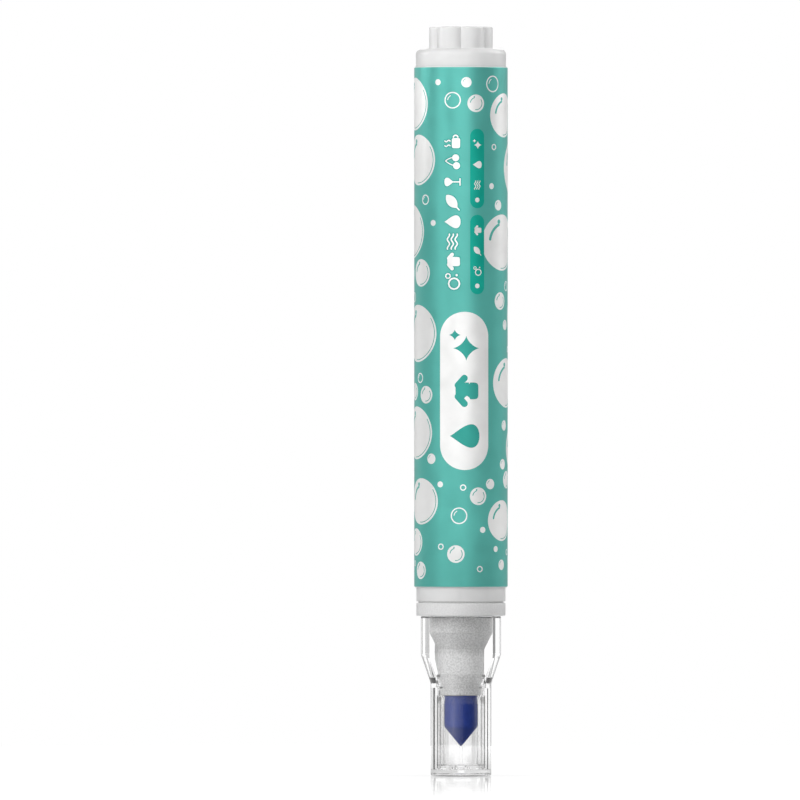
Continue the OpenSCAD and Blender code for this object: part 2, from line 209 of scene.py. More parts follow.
def startPaint(name, sockets):
    # A material with one Principled shader, and the place on the piece that its patterns follow
    paint, tree = blankPaint(name)
    shader = addNode(tree, "BsdfPrincipled", sockets=sockets)
    addNode(tree, "OutputMaterial", links={"Surface": shader.outputs["BSDF"]})
    place = addNode(tree, "TexCoord").outputs["Object"]
    return paint, shader, place


def cloudOf(place, size, detailLevel=2.0, stretch=(1, 1, 1)):
    # Noise whose spots are size mm across, or longer along an axis by stretch
    tree = place.id_data
    scaled = addNode(tree, "Mapping",
                     sockets={"Scale": tuple(1 / (size * mm * s) for s in stretch)},
                     links={"Vector": place})
    made = addNode(tree, "TexNoise",
                   sockets={"Scale": 1.0, "Detail": detailLevel, "Roughness": 0.55},
                   links={"Vector": scaled.outputs["Vector"]})
    return made.outputs["Fac"]


def setStops(ramp, stops):
    # Places and colours of a ramp's stops, from left to right
    marks = ramp.color_ramp.elements
    while len(marks) < len(stops):
        marks.new(1.0)
    for mark, (at, colour) in zip(marks, stops):
        mark.position = at
        mark.color = colour


def tintBy(shader, share, dark, light, low=0.3, high=0.7):
    # Base colour between two tones, as share goes from low to high
    tree = shader.id_data
    ramp = addNode(tree, "ValToRGB", links={"Fac": share})
    setStops(ramp, [(low, linear(dark)), (high, linear(light))])
    tree.links.new(ramp.outputs["Color"], shader.inputs["Base Color"])


def roughBy(shader, share, low, high):
    # Roughness between two values, as share goes from 0.3 to 0.7
    tree = shader.id_data
    spread = addNode(tree, "MapRange",
                     sockets={"From Min": 0.3, "From Max": 0.7, "To Min": low, "To Max": high},
                     links={"Value": share})
    tree.links.new(spread.outputs["Result"], shader.inputs["Roughness"])


def raiseBy(shader, height, depth):
    # Bump of the given depth in mm, laid over any bump that is there
    tree = shader.id_data
    bump = addNode(tree, "Bump", sockets={"Strength": 1.0, "Distance": depth * mm},
                   links={"Height": height})
    if shader.inputs["Normal"].is_linked:
        tree.links.new(shader.inputs["Normal"].links[0].from_socket, bump.inputs["Normal"])
    tree.links.new(bump.outputs["Normal"], shader.inputs["Normal"])


plastic = {
    "dark": "#C5C5C5",
    "light": "#CDCDCD",
    "ringDark": "#D0D0D0",  # painted light: the barrel's copy of the plastic is lighter, to make up for the shade cast low on the pen
    "ringLight": "#D7D7D7",
    "cloudSize": 6.0,       # slow change of tone across the moulding
    "grainSize": 0.35,      # drawn coarser than the mould's 0.05 mm polish marks, so that it shows
    "grainDepth": 0.004,
    "rough": (0.34, 0.46),
}


def mouldedPaint(name, sockets, tones, cloud, sheen, rough, grain, depth):
    # What is moulded has two tones in a slow cloud, an uneven sheen and a fine grain
    paint, shader, place = startPaint(name, sockets)
    tintBy(shader, cloudOf(place, *cloud), *tones)
    roughBy(shader, cloudOf(place, sheen), *rough)
    raiseBy(shader, cloudOf(place, grain), depth)
    return paint


def polypropylene(weight, depth):
    # What white polypropylene is: light goes into it for about depth mm
    return {"IOR": 1.49, "Subsurface Weight": weight, "Subsurface Radius": (1.0, 0.97, 0.94),
            "Subsurface Scale": depth * mm}


def mouldedPolypropylene(name, dark, light):
    # White polypropylene from a polished steel mould: satin, a little translucent, never quite even
    return mouldedPaint(name, polypropylene(0.08, 0.5), (dark, light), (plastic["cloudSize"], 3.0), 2.5,
                        plastic["rough"], plastic["grainSize"], plastic["grainDepth"])


nose = {
    "matte": "#DDDDDD",     # the eroded nose
    "satin": "#DBDBDB",     # the collar
    "shadowed": 0.7,        # tone of the grain's hollows
    "grainSize": 0.26,      # spark erosion leaves craters of about 0.05 mm, drawn coarser to show
    "grainDepth": 0.025,
    "smoothGrain": 0.003,
    "border": 0.02,         # half the height over which one finish turns into the other
    "left": 0.28,           # share of the grain that the satin collar keeps
    "rough": (0.38, 0.62),  # on the collar, and on the eroded nose
}


def sparkErodedPolypropylene():
    # The same plastic from a spark-eroded mould: matte and grainy below the collar, satin on it
    paint, shader, place = startPaint("sparkErodedPolypropylene", polypropylene(0.05, 0.4))
    tree = paint.node_tree
    height = addNode(tree, "SeparateXYZ", links={"Vector": place}).outputs["Z"]
    eroded = addNode(tree, "MapRange",
                     sockets={"From Min": (collarZ - nose["border"]) * mm, "To Min": 1.0,
                              "From Max": (collarZ + nose["border"]) * mm, "To Max": 0.0},
                     links={"Value": height}).outputs["Result"]
    grain = cloudOf(place, nose["grainSize"], 4.0)
    deepness = addNode(tree, "MapRange",
                       sockets={"From Min": 0.4, "From Max": 0.6,
                                "To Min": nose["shadowed"], "To Max": 1.0},
                       links={"Value": grain}).outputs["Result"]
    most = addNode(tree, "Math", settings={"operation": "MULTIPLY_ADD"},
                   sockets={1: 1 - nose["left"], 2: nose["left"]}, links={0: eroded}).outputs[0]
    tone = addNode(tree, "Mix", sockets={2: 1.0}, links={0: most, 3: deepness}).outputs[0]
    colour = addNode(tree, "Mix", settings={"data_type": "RGBA"}, links={0: eroded},
                     sockets={6: linear(nose["satin"]), 7: linear(nose["matte"])}).outputs[2]
    colour = addNode(tree, "VectorMath", settings={"operation": "SCALE"},
                     links={0: colour, "Scale": tone}).outputs[0]
    tree.links.new(colour, shader.inputs["Base Color"])
    matte = addNode(tree, "Mix", sockets=dict(zip((2, 3), nose["rough"])), links={0: eroded}).outputs[0]
    tree.links.new(matte, shader.inputs["Roughness"])
    pits = addNode(tree, "Math", settings={"operation": "MULTIPLY"},
                   links={0: grain, 1: most}).outputs[0]
    raiseBy(shader, pits, nose["grainDepth"])
    raiseBy(shader, cloudOf(place, plastic["grainSize"]), nose["smoothGrain"])
    return paint


film = {
    "ground": "#5EBAB0",
    "white": "#F8F8F7",
    "deep": "#12AF9C",
    "mark": "#3AA79C",
    "pearl": 0.55,          # share of the light that the pearl coat under the ink sends back
    "wave": 7.0,            # length of the film's slow waves, from shrinking on
    "waveDepth": 0.02,
    "dust": 0.12,           # specks under the film, and how far they lift it
    "dustDepth": 0.0006,
    "tones": (0.95, 1.03),  # the ink lies a little thinner and thicker
    "rough": (0.32, 0.4),
}


def printedFilm(name, code):
    # Glossy polypropylene film over a pearl coat: its highlights take the ink's own colour
    paint, shader, place = startPaint(name, {
        "Base Color": linear(code),
        "Metallic": film["pearl"],
        "IOR": 1.5,
        "Specular IOR Level": 0.5,
    })
    tree = paint.node_tree
    tones = [(*(np.array(linear(code)[:3]) * share).tolist(), 1.0) for share in film["tones"]]
    tone = addNode(tree, "Mix", settings={"data_type": "RGBA"}, sockets={6: tones[0], 7: tones[1]},
                   links={0: cloudOf(place, 1.6, 5.0)}).outputs[2]
    tree.links.new(tone, shader.inputs["Base Color"])
    roughBy(shader, cloudOf(place, 3.0), *film["rough"])
    raiseBy(shader, cloudOf(place, film["wave"], 1.0, (0.6, 0.6, 2.5)), film["waveDepth"])
    raiseBy(shader, cloudOf(place, film["dust"]), film["dustDepth"])
    return paint


fibre = {
    "dark": "#1C317C",
    "light": "#2743A0",
    "width": 0.13,          # the fibres are 0.02 mm thick, and are drawn in bundles that show
    "length": 9,
    "depth": 0.018,
}


def bondedPolyesterFibre():
    # Bonded polyester fibre, ground to its point: dull, with lengthwise streaks
    paint, shader, place = startPaint("bondedPolyesterFibre", {
        "IOR": 1.58,
        "Specular IOR Level": 0.15,
    })
    streak = cloudOf(place, fibre["width"], 3.0, (1, 1, fibre["length"]))
    tintBy(shader, streak, fibre["dark"], fibre["light"], 0.28, 0.75)
    roughBy(shader, streak, 0.42, 0.55)
    raiseBy(shader, streak, fibre["depth"])
    return paint


def clearPaint(name, tint, ior, roughness, wave, waveDepth, stretch=(1, 1, 1), gloss=0.25):
    # Anything that light goes through, with the slow waves of its surface
    paint, shader, place = startPaint(name, {
        "Base Color": linear(tint),
        "Transmission Weight": 1.0,
        "Specular IOR Level": gloss,
        "IOR": ior,
        "Roughness": roughness,
    })
    raiseBy(shader, cloudOf(place, wave, 1.0, stretch), waveDepth)
    return paint


def clearPolystyrene():
    # Crystal polystyrene: the clearest and most refractive of the cheap moulding plastics
    return clearPaint("clearPolystyrene", "#FFFFFF", 1.59, 0.0, 5.0, 0.012, (1, 1, 3))


def clearPolypropylene():
    # Clarified polypropylene: a touch milkier and less refractive than the shell around it
    return clearPaint("clearPolypropylene", "#FFFFFF", 1.49, 0.01, 3.0, 0.006)


def cleaningFluid():
    # Thin watery cleaner, a breath of blue
    return clearPaint("cleaningFluid", "#EEF7FA", 1.34, 0.0, 4.0, 0.01, gloss=0.5)


def nitrileRubber():
    # Moulded nitrile rubber: black, dull, with a faint bloom
    return mouldedPaint("nitrileRubber", {"IOR": 1.52}, ("#1D1D1E", "#303031"), (0.6, 4.0), 0.3,
                        (0.55, 0.75), 0.15, 0.004)


def mouldedAcetal():
    # Natural acetal for the valve: creamy white and slippery
    return mouldedPaint("mouldedAcetal", {"IOR": 1.48}, ("#E4E3DC", "#EFEEE8"), (2.0, 3.0), 0.8,
                        (0.28, 0.4), 0.25, 0.002)


def drawnStainlessWire():
    # Drawn 302 stainless wire: bright, with fine lengthwise draw marks
    paint, shader, place = startPaint("drawnStainlessWire", {
        "Base Color": linear("#C3C2BE"),
        "Metallic": 1.0,
    })
    roughBy(shader, cloudOf(place, 0.1, 3.0), 0.18, 0.34)
    raiseBy(shader, cloudOf(place, 0.05, 2.0, (1, 1, 6)), 0.002)
    return paint


# Barrel

barrel = {
    "wall": 1.2,
    "stepAbove": 2.55,      # height of the bare ring
    "edge": 0.1,
    "beadHeight": 0.2,
    "beadWidth": 1.2,
    "beadAt": 1.6,
}
boreR = barrelR - barrel["wall"]
stepZ = barrelLow + barrel["stepAbove"]


def beadOn(r, z):
    # Corners of a snap bead on a wall of radius r, going up
    width, height = barrel["beadWidth"], barrel["beadHeight"]
    return [(r, z - width / 2), (r + height, z - width / 4),
            (r + height, z + width / 4), (r, z + width / 2)]


barrelCorners = [
    (boreR, barrelLow), (ringR, barrelLow, barrel["edge"]), (ringR, stepZ, 0.08), (barrelR, stepZ, 0.05),
    (barrelR, barrelHigh, 0.04), (boreR, barrelHigh),
    *beadOn(boreR, barrelHigh - barrel["beadAt"])[::-1], *beadOn(boreR, barrelLow + barrel["beadAt"])[::-1],
]
# Painted light: a lighter copy of the plug's plastic, for the shade low on the pen
barrelPlastic = mouldedPolypropylene("barrelPolypropylene", plastic["ringDark"], plastic["ringLight"])
addPiece("barrel_tube", [skinOf(turned(outlineOf(barrelCorners)), looped=True)],
         "pen", barrelPlastic, ["barrel"])
print("Barrel: tube and bare ring")


# Front section

ringGroove = {
    "width": 1.0,
    "depth": 0.82,          # below the bore, with the press gaps on both sides
    "at": 4.4,
}


def grooveIn(r, z):
    # Corners of a seal ring's groove in a wall of radius r, going up
    bottom, half = boreR - ringGroove["depth"], ringGroove["width"] / 2
    return [(r, z - half), (bottom, z - half), (bottom, z + half), (r, z + half)]


front = {
    "tipR": 3.71,
    "tipHeight": 2.05,
    "taperHeight": 2.0,
    "noseR": 4.25,
    "noseHeight": 4.35,
    "coneHeight": 3.1,
    "fitR": 5.77,
    "fitHeight": 3.0,
    "collarHeight": 2.3,
    "seamDepth": 0.35,
    "skirtGap": 0.03,
    "skirtWall": 1.5,
    "ledge": 1.1,
    "nibGap": 0.07,
    "chamberRise": 1.55,
    "chamberWall": 0.3,
    "ventWidth": 0.5,
    "ventDepth": 0.22,
    "vents": 4,
    "softEdge": 0.12,       # the mould's own small radius on each outer edge
}
taperZ = tipZ + front["tipHeight"]
noseZ = taperZ + front["taperHeight"]
coneZ = noseZ + front["noseHeight"]
fitZ = coneZ + front["coneHeight"]
collarZ = fitZ + front["fitHeight"]
collarTop = collarZ + front["collarHeight"]
skirtR = boreR - front["skirtGap"]
pocketR = skirtR - front["skirtWall"]
seamR = ringR - front["seamDepth"]
ledgeZ = collarZ + front["ledge"]
nibBoreR = nibR + front["nibGap"]
chamberR = front["noseR"] - front["chamberWall"]
chamberZ = coneZ + front["chamberRise"]
soft = front["softEdge"]
frontCorners = [
    (nibBoreR + 0.1, tipZ), (front["tipR"], tipZ, 0.2), (front["tipR"], taperZ, soft * 4),
    (front["noseR"], noseZ, soft * 4), (front["noseR"], coneZ, soft * 2), (front["fitR"], fitZ, soft * 2),
    (front["fitR"], collarZ, soft), (ringR, collarZ, 0.12), (ringR, collarTop, 0.1),
    (seamR, collarTop), (seamR, barrelLow), (skirtR, barrelLow),
    *beadOn(skirtR, barrelLow + barrel["beadAt"]),
    *grooveIn(skirtR, barrelLow + ringGroove["at"]),
    (skirtR, skirtTop - 0.3), (skirtR - 0.3, skirtTop), (pocketR, skirtTop),
    (pocketR, ledgeZ), (chamberR, ledgeZ), (chamberR, chamberZ), (nibBoreR, chamberZ),
    (nibBoreR, tipZ + 0.1),
]


def anglesWith(extra):
    # Even angles round the pen, and some more among them
    return np.unique(np.round(np.append(evenAngles(), extra), 6))


def slotAngles(count, halfWidth):
    # Even angles with a close pair at each side of every slot or rib
    middle = (np.arange(count)[:, None] + 0.5) * 2 * math.pi / count
    sides = middle + halfWidth * np.array([-1.001, -0.999, 0.999, 1.001])
    return anglesWith(sides)


def insideSlot(angle, count, halfWidth):
    # True within halfWidth of the middle of a slot or rib
    share = 2 * math.pi / count
    return np.abs(angle % share - share / 2) < halfWidth


def ventedBore(r, z, angle):
    # Four air grooves run along the nib's bore and open at the tip
    half = front["ventWidth"] / 2 / nibBoreR
    grooved = insideSlot(angle, front["vents"], half) & (r < nibBoreR + 0.11) & (z < chamberZ + 0.01)
    return np.where(grooved, nibBoreR + front["ventDepth"], r)


nosePlastic = sparkErodedPolypropylene()
frontAngles = slotAngles(front["vents"], front["ventWidth"] / 2 / nibBoreR)
addPiece("nose_and_collar", [skinOf(turned(outlineOf(frontCorners), frontAngles, ventedBore), looped=True)],
         "pen", nosePlastic, ["front_section"])
print("Front section: nose, cone, collar")


# Rear plug

plug = {
    "flangeRound": 1.0,
    "flangeHeight": 3.25,
    "lobes": 6,
    "lobeR": 2.77,
    "coreR": 3.63,
    "coreWall": 1.3,
    "postEdge": 0.3,
    "footFillet": 0.25,
}
flangeTop = barrelHigh + plug["flangeHeight"]
lobeAt = front["fitR"] - plug["lobeR"]


def lobedReach(angle, inset):
    # Distance from the axis to the outline of the lobes, each a circle about a point lobeAt away,
    # shrunk by inset: lobeAt cos a + sqrt((lobeR - inset)^2 - (lobeAt sin a)^2)
    share = 2 * math.pi / plug["lobes"]
    off = (angle + share / 2) % share - share / 2
    radius = plug["lobeR"] - inset
    return lobeAt * np.cos(off) + np.sqrt(np.maximum(radius ** 2 - (lobeAt * np.sin(off)) ** 2, 0))


def plugSkin():
    # The flange and skirt are turned. The post's rows follow the lobes, shrunk or grown by the
    # roundings at its top and foot.
    angle = evenAngles()
    below = outlineOf([
        (0, postTop - plug["coreWall"]), (plug["coreR"], postTop - plug["coreWall"], 0.3),
        (plug["coreR"], barrelHigh), (pocketR, barrelHigh), (pocketR, plugLow),
        (skirtR - 0.3, plugLow), (skirtR, plugLow + 0.3),
        *grooveIn(skirtR, barrelHigh - ringGroove["at"]),
        *beadOn(skirtR, barrelHigh - barrel["beadAt"]),
        (skirtR, barrelHigh), (plugR, barrelHigh, 0.1), (plugR, flangeTop, plug["flangeRound"]),
        (front["fitR"] + 0.8, flangeTop), (0, flangeTop),
    ])[:-1]
    quarter = np.radians(np.arange(0, 91, 15))[:, None]
    foot = plug["footFillet"]
    top = plug["postEdge"]
    inset = np.vstack([-foot * (1 - np.sin(quarter)), top * (1 - np.cos(quarter))])
    z = np.vstack([flangeTop + foot * (1 - np.cos(quarter)), postTop - top * (1 - np.sin(quarter))])
    r = lobedReach(angle, inset)
    shrink = np.linspace(0.85, 0, 5)[:, None]
    r = np.vstack([r, shrink * r[-1:]])
    z = np.vstack([z, 0 * shrink + postTop])
    return skinOf(np.concatenate([turned(below, angle), roundAxis(r, angle, z)]))


plugPlastic = mouldedPolypropylene("plugPolypropylene", plastic["dark"], plastic["light"])
addPiece("rear_plug_lobed", [plugSkin()], "pen", plugPlastic, ["rear_plug"])
print("Rear plug: flange and lobed post")


# Nib

point = {
    "height": 3.5,
    "tipR": 0.12,
    "shoulderRound": 1.0,
    "curved": 0.8,          # share of the height that the hyperbola covers
}


def nibOutline():
    # The point is a hyperbola: r^2 = slope^2 up^2 + 2 tipR up, with the slope that reaches the nib's
    # radius at the point's full height
    slopeSquared = (nibR ** 2 - 2 * point["tipR"] * point["height"]) / point["height"] ** 2
    up = point["height"] * point["curved"] * np.linspace(0, 1, 24) ** 2
    curve = np.stack([np.sqrt(slopeSquared * up ** 2 + 2 * point["tipR"] * up), nibTip + up], -1)
    corners = [tuple(p) for p in curve]
    corners += [(nibR, nibTip + point["height"], point["shoulderRound"]),
                (nibR, nibBack, 0.2), (0, nibBack)]
    return outlineOf(corners)


addPiece("bullet_nib", [skinOf(turned(nibOutline()))], "nib", bondedPolyesterFibre(), ["nib"])
print("Nib: bonded fibre")


# Cap

cap = {
    "fit": 0.06,
    "tubeR": 5.53,
    "tubeWall": 0.75,
    "shoulderAbove": 2.25,  # from the nose's tip to the outer shoulder
    "shoulderHeight": 5.2,
    "innerRise": 1.3,
    "innerHeight": 3.8,
    "mouthRound": 2.5,
    "neckRound": 0.5,
    "floor": 1.05,
    "footRound": 0.4,
    "hollowR": 3.4,
    "hollowDepth": 0.5,
    "gateR": 0.45,
    "gateZ": 0.35,
    "lead": 0.3,
}
capInR = front["fitR"] + cap["fit"]
tubeInR = cap["tubeR"] - cap["tubeWall"]
shoulderZ = tipZ + cap["shoulderAbove"]
shoulderTop = shoulderZ + cap["shoulderHeight"]
innerZ = shoulderZ + cap["innerRise"]
innerTop = innerZ + cap["innerHeight"]
capCorners = [
    (0, cap["gateZ"]), (cap["gateR"], cap["gateZ"], 0.05), (cap["gateR"], cap["hollowDepth"], 0.05),
    (cap["hollowR"], cap["hollowDepth"], 0.15), (cap["hollowR"] + 0.2, 0, 0.08),
    (cap["tubeR"], 0, cap["footRound"]), (cap["tubeR"], shoulderZ, cap["neckRound"]),
    (capR, shoulderTop, cap["mouthRound"]), (capR, capMouth, 0.2),
    (capInR + cap["lead"], capMouth, 0.1), (capInR, capMouth - cap["lead"], 0.1),
    (capInR, innerTop, cap["mouthRound"]), (tubeInR, innerZ, cap["neckRound"]),
    (tubeInR, cap["floor"], 0.15), (0, cap["floor"]),
]
capPiece = addPiece("clear_cap_shell", [skinOf(turned(outlineOf(capCorners)))],
                    "cap", clearPolystyrene(), ["cap_shell"])

seal = {
    "tubeR": 4.2,
    "boreR": 3.45,
    "floor": 0.8,
    "gateR": 1.2,
    "gateDepth": 0.5,
    "landR": 3.76,
    "landBelow": 0.3,
    "landLead": 1.2,
    "socketR": 4.3,
    "socketWall": 0.3,
    "lipHeight": 1.65,
    "lipEdge": 0.15,
    "ribs": 6,
    "ribWidth": 0.6,
}
socketOutR = seal["socketR"] + seal["socketWall"]
socketStep = socketOutR - seal["tubeR"]
landZ = tipZ - seal["landBelow"]
sealFloorZ = sealLow + seal["floor"]
ribLow = sealLow + cap["lead"]
sealCorners = [
    (0, sealLow + seal["gateDepth"]), (seal["gateR"], sealLow + seal["gateDepth"], 0.06),
    (seal["gateR"], sealLow, 0.06), (seal["tubeR"], sealLow, 0.2),
    (seal["tubeR"], ribLow), (seal["tubeR"], ribLow + 0.01),
    (seal["tubeR"], tipZ - 0.01), (seal["tubeR"], tipZ),
    (seal["tubeR"], taperZ - 2 * socketStep, 0.2), (socketOutR, taperZ - socketStep, 0.2),
    (socketOutR, lipTop - seal["lipHeight"], 0.3), (seal["socketR"] + seal["lipEdge"], lipTop, 0.04),
    (seal["socketR"], lipTop, 0.03), (seal["landR"], taperZ, 0.2), (seal["landR"], landZ, 0.2),
    (seal["boreR"], landZ - seal["landLead"], 0.3), (seal["boreR"], sealFloorZ, 0.25), (0, sealFloorZ),
]


def ribbedTube(r, z, angle):
    # Six ribs run up the tube and reach the shell
    half = seal["ribWidth"] / 2 / seal["tubeR"]
    outside = (np.abs(r - seal["tubeR"]) < 0.001) & (z > ribLow + 0.005) & (z < tipZ - 0.005)
    return np.where(insideSlot(angle, seal["ribs"], half) & outside, ribR, r)


sealAngles = slotAngles(seal["ribs"], seal["ribWidth"] / 2 / seal["tubeR"])
sealPiece = addPiece("clear_inner_seal", [skinOf(turned(outlineOf(sealCorners), sealAngles, ribbedTube))],
                     "cap", clearPolypropylene(), ["cap_inner_seal"])
for clearPiece in (capPiece, sealPiece):
    clearPiece.visible_shadow = False      # clear plastic lets the lamps through
    clearPiece.visible_diffuse = False
print("Cap: shell and inner seal")


# Label

label = {
    "edge": 0.05,
    "seamAt": 180,          # degrees round from the front, where the film's end overlaps
    "seamStep": 0.05,       # thickness of the film's end
    "seamSlope": 24,        # degrees over which the layer below rises to the surface again
    "inkLift": 0.012,
    "inkSink": 0.02,
}
labelHeight = labelHigh - labelLow


def filmR(turn):
    # Radius of the film's surface at an angle from the front: it drops by the film's thickness at the
    # overlap and comes back smoothly
    past = (np.degrees(turn) - label["seamAt"]) % 360 / label["seamSlope"]
    past = np.clip(past, 0, 1)
    return labelR - label["seamStep"] * (1 - past ** 2 * (3 - 2 * past))


def filmReach(r, z, angle):
    # Only the outer surface of the sleeve follows the film
    return np.where(r > barrelR + 0.05, r - labelR + filmR(angle + math.pi / 2), r)


seamAngle = math.radians(label["seamAt"] - 90) % (2 * math.pi)
filmAngles = anglesWith([seamAngle - 1e-4, seamAngle + 1e-4])
filmCorners = [
    (barrelR, labelLow), (labelR, labelLow, label["edge"]), (labelR, labelHigh, label["edge"]),
    (barrelR, labelHigh),
]
groundInk = printedFilm("tealPrintedFilm", film["ground"])
addPiece("label_film", [skinOf(turned(outlineOf(filmCorners), filmAngles, filmReach), looped=True)],
         "pen", groundInk, ["label_sleeve"])


def onLabel(across, up, lift):
    # Wraps a flat drawing round the label: across is the way round from the front, to the right, up is
    # the height above the label's lower edge, and lift is the height above the film
    turn = across / labelR
    r = filmR(turn) + lift
    return np.stack([r * np.sin(turn), -r * np.cos(turn), labelLow + up], -1)


def inkShape(outline, across, up, width, height, turn=0, layer=1):
    # A printed patch: t goes round outline(t), which is inside a square from -1 to 1, and s grows from
    # the middle to the edge on its top and back below, so that the patch is a closed thin skin
    columns = int(min(96, 28 + 9 * max(width, height)))
    t = evenAngles(columns)
    x, y = outline(t)
    x = x * width / 2
    y = y * height / 2
    rings = max(4, math.ceil(width / 0.9))
    s = np.linspace(0, 1, rings + 1)
    s = np.concatenate([s, s[::-1]])[:, None]
    lift = np.where(np.arange(len(s)) > rings, label["inkLift"] * layer, -label["inkSink"])[:, None]
    cosine, sine = math.cos(math.radians(turn)), math.sin(math.radians(turn))
    u = across + s * (x * cosine - y * sine)
    v = up + s * (x * sine + y * cosine)
    return skinOf(onLabel(u, v, lift + 0 * u))


def inkLine(x, y, width, layer=1):
    # A printed line with round ends, swept along the points x, y: its half-width is that of a half
    # circle at both ends, and each row goes round its top and its underside
    x, y = np.asarray(x, float), np.asarray(y, float)
    dx, dy = np.gradient(x), np.gradient(y)
    length = np.hypot(dx, dy)
    dx, dy = dx / length, dy / length
    cap90 = np.radians(np.linspace(90, 0, 7))
    along = np.concatenate([-np.sin(cap90), np.zeros(len(x) - 2), np.sin(cap90[::-1])]) * width / 2
    half = np.concatenate([np.cos(cap90), np.ones(len(x) - 2), np.cos(cap90[::-1])]) * width / 2
    pick = np.concatenate([np.zeros(7, int), np.arange(1, len(x) - 1), np.full(7, len(x) - 1)])
    x, y, dx, dy = x[pick], y[pick], dx[pick], dy[pick]
    side = np.array([1, 1, 0, -1, -1, 0])
    lift = np.array([-label["inkSink"], 1, 1, 1, -label["inkSink"], -label["inkSink"]])
    lift = np.where(lift > 0, label["inkLift"] * layer, lift)
    u = (x + along * dx)[:, None] - (half * dy)[:, None] * side
    v = (y + along * dy)[:, None] + (half * dx)[:, None] * side
    return skinOf(onLabel(u, v, lift + 0 * u))


def circle(t):
    # Cosine and sine
    return np.cos(t), np.sin(t)


def drop(t):
    # Teardrop: sin t, narrowed towards its tip by sin(t / 2) to the power 1.6
    return -1.25 * np.sin(t) * np.sin(t / 2) ** 1.6, np.cos(t)


def sparkle(t):
    # Four-pointed star: cubes of the cosine and the sine
    return np.cos(t) ** 3, np.sin(t) ** 3


def leaf(t):
    # Ellipse with its two ends drawn to points
    return np.cos(t), np.sin(t) * np.abs(np.sin(t)) ** 0.6


def tile(t):
    # Square with round corners: a superellipse of power 6
    cosine, sine = np.cos(t), np.sin(t)
    return np.sign(cosine) * np.abs(cosine) ** (1 / 3), np.sign(sine) * np.abs(sine) ** (1 / 3)


def pillShape(t, width, height):
    # Two half circles joined by straight sides, in a box from -1 to 1
    rise = 1 - width / height
    return np.cos(t), np.sin(t) * width / height + np.sign(np.round(np.sin(t), 9)) * rise


def arcPoints(x, y, radius, start, end):
    # Points on an arc, 0.3 mm apart or closer
    count = max(8, math.ceil(abs(math.radians(end - start)) * radius / 0.3))
    angle = np.radians(np.linspace(start, end, count))
    return x + radius * np.cos(angle), y + radius * np.sin(angle)


def straight(x, y, toX, toY, count):
    # Points on a straight line
    return np.linspace(x, toX, count), np.linspace(y, toY, count)


steam = np.linspace(0, 1, 12)
stem = np.linspace(0, 1, 9)
run = np.linspace(-0.85, 0.85, 22)
signs = {
    # Small generic signs in a square from -1 to 1. A form has its outline, middle, width, height and
    # turn; a line has its points along x, along y and its width.
    "drop": [(drop, 0, 0, 1.7, 1.9)],
    "sparkle": [(sparkle, -0.15, -0.1, 1.6, 1.7), (sparkle, 0.68, 0.62, 0.7, 0.75)],
    "bubbles": [(*arcPoints(-0.25, -0.2, 0.62, 0, 360), 0.2), (*arcPoints(0.62, 0.5, 0.28, 0, 360), 0.16),
                (circle, 0.72, -0.5, 0.28, 0.28)],
    "shirt": [(tile, 0, -0.15, 1.05, 1.45), (*straight(-0.35, 0.42, -0.8, 0.02, 6), 0.42),
              (*straight(0.35, 0.42, 0.8, 0.02, 6), 0.42)],
    "cup": [(tile, -0.12, -0.42, 1.15, 0.95), (*arcPoints(0.52, -0.38, 0.26, -80, 80), 0.16),
            *[(x + 0.09 * np.sin(steam * 2 * math.pi), 0.25 + 0.62 * steam, 0.15)
              for x in (-0.42, 0.12)]],
    "leaf": [(leaf, 0.05, 0.08, 1.9, 1.1, 40), (*straight(-0.62, -0.5, -0.92, -0.78, 4), 0.16)],
    "glass": [(drop, 0, 0.38, 1.15, 1.1, 180), (*straight(0, 0.1, 0, -0.82, 5), 0.15),
              (*straight(-0.36, -0.88, 0.36, -0.88, 6), 0.15)],
    "cherries": [(circle, -0.42, -0.48, 0.8, 0.8), (circle, 0.48, -0.38, 0.8, 0.8),
                 (-0.38 + 0.5 * stem, -0.15 + 0.95 * stem ** 0.7, 0.12),
                 (0.5 - 0.38 * stem ** 1.6, -0.05 + 0.85 * stem, 0.12)],
    "waves": [(run, y + 0.13 * np.sin(run * 6.2), 0.17) for y in (-0.45, 0.0, 0.45)],
}
printed = {"white": [], "deep": [], "mark": [], "ground": []}   # the skins, by ink


def printSign(kind, ink, across, up, size, layer, grow=0):
    # Prints a sign that reads along the pen, in a square of the given size; grow widens every form, for
    # the outline that is printed under it
    for sign in signs[kind]:
        drawn = callable(sign[0])
        x, y = sign[1:3] if drawn else sign[:2]
        u, v = across - np.asarray(y) * size / 2, up + np.asarray(x) * size / 2
        if drawn:
            width, height, *turn = sign[3:]
            skin = inkShape(sign[0], u, v, width * size / 2 + grow, height * size / 2 + grow,
                            90 + sum(turn), layer)
        else:
            skin = inkLine(u, v, sign[2] * size / 2 + grow, layer)
        printed[ink].append(skin)


def printPill(ink, across, top, width, height, layer):
    # Prints a pill that reaches up to z = top, and gives its middle's height above the label's edge
    middle = top - labelLow - height / 2
    printed[ink].append(inkShape(lambda t: pillShape(t, width, height), across, middle, width, height,
                                 0, layer))
    return middle


panel = {
    "across": 0.66,
    "top": 84.3,            # z of the white pill's ends
    "bottom": 55.6,
    "width": 9.2,
    "signSize": 5.8,
    "signs": ["drop", "shirt", "sparkle"],
    "spacing": 0.285,       # between two signs' middles, as a share of the pill's height
}


def printPanel():
    # White pill with three signs
    height = panel["top"] - panel["bottom"]
    middle = printPill("white", panel["across"], panel["top"], panel["width"], height, 2)
    for i, kind in enumerate(panel["signs"]):
        up = middle + (i - 1) * height * panel["spacing"]
        printSign(kind, "mark", panel["across"], up, panel["signSize"], 3)


